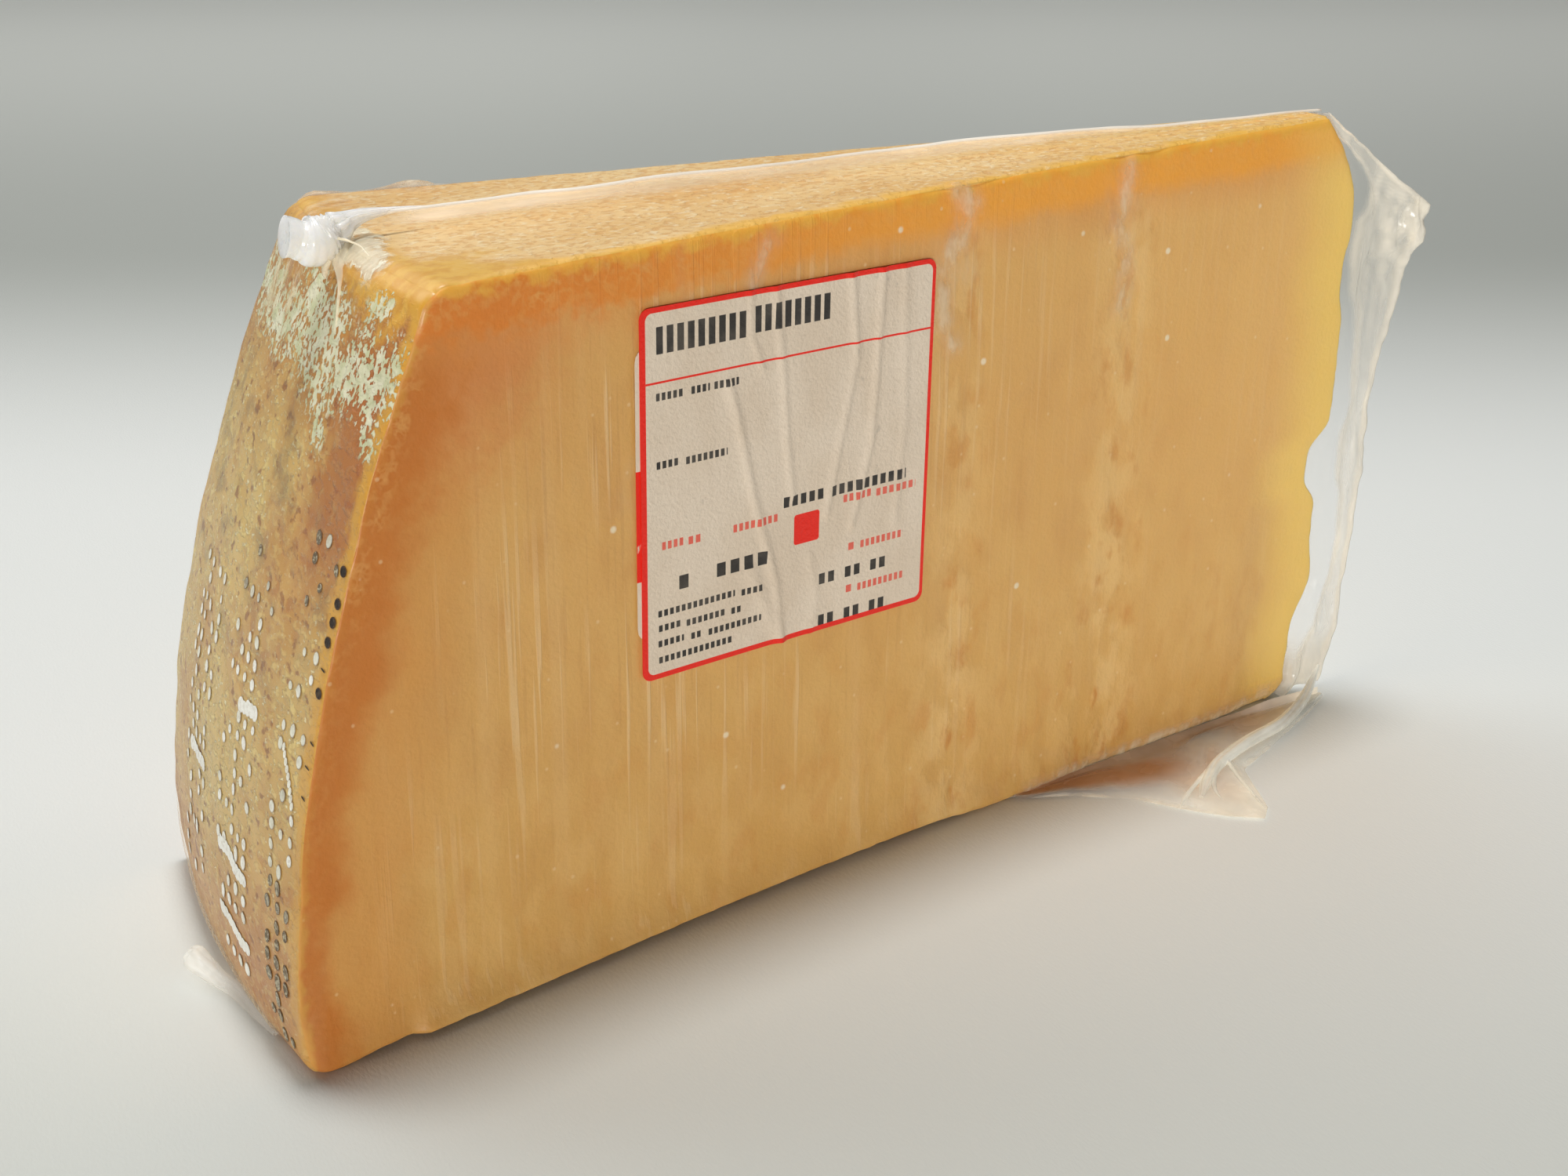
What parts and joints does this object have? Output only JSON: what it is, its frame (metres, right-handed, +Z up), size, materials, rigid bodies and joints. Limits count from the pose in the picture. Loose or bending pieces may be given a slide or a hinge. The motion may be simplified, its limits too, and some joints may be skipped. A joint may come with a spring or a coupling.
{
  "type": "wrapped wedge of hard cheese",
  "caption": "Tall narrow wedge of aged hard cheese with a barrel-shaped rind, wrapped in clear film with a gathered end, and a printed paper label on one cut face.",
  "frame": {"origin": "middle of the wedge's box at the level that it stands on", "axes": "+Z up, +X from the rind to the thin end, -Y out of the labelled cut face"},
  "size_m": [0.2524, 0.0801, 0.1227],
  "materials": {
    "cheese": "waxy golden cut cheese with an ochre rind, under clinging film",
    "label_paper": "matt adhesive paper with a red border",
    "film": "clear soft plastic film, whitish where it creases",
    "film_gathered": "white gathered plastic film"
  },
  "bodies": {
    "root": {"cheese": "cheese", "label": "label_paper", "label_under": "label_paper", "film_seam": "film", "film_neck": "film_gathered", "film_tip": "film", "film_foot": "film", "film_heel": "film_gathered"}
  },
  "joints": []
}
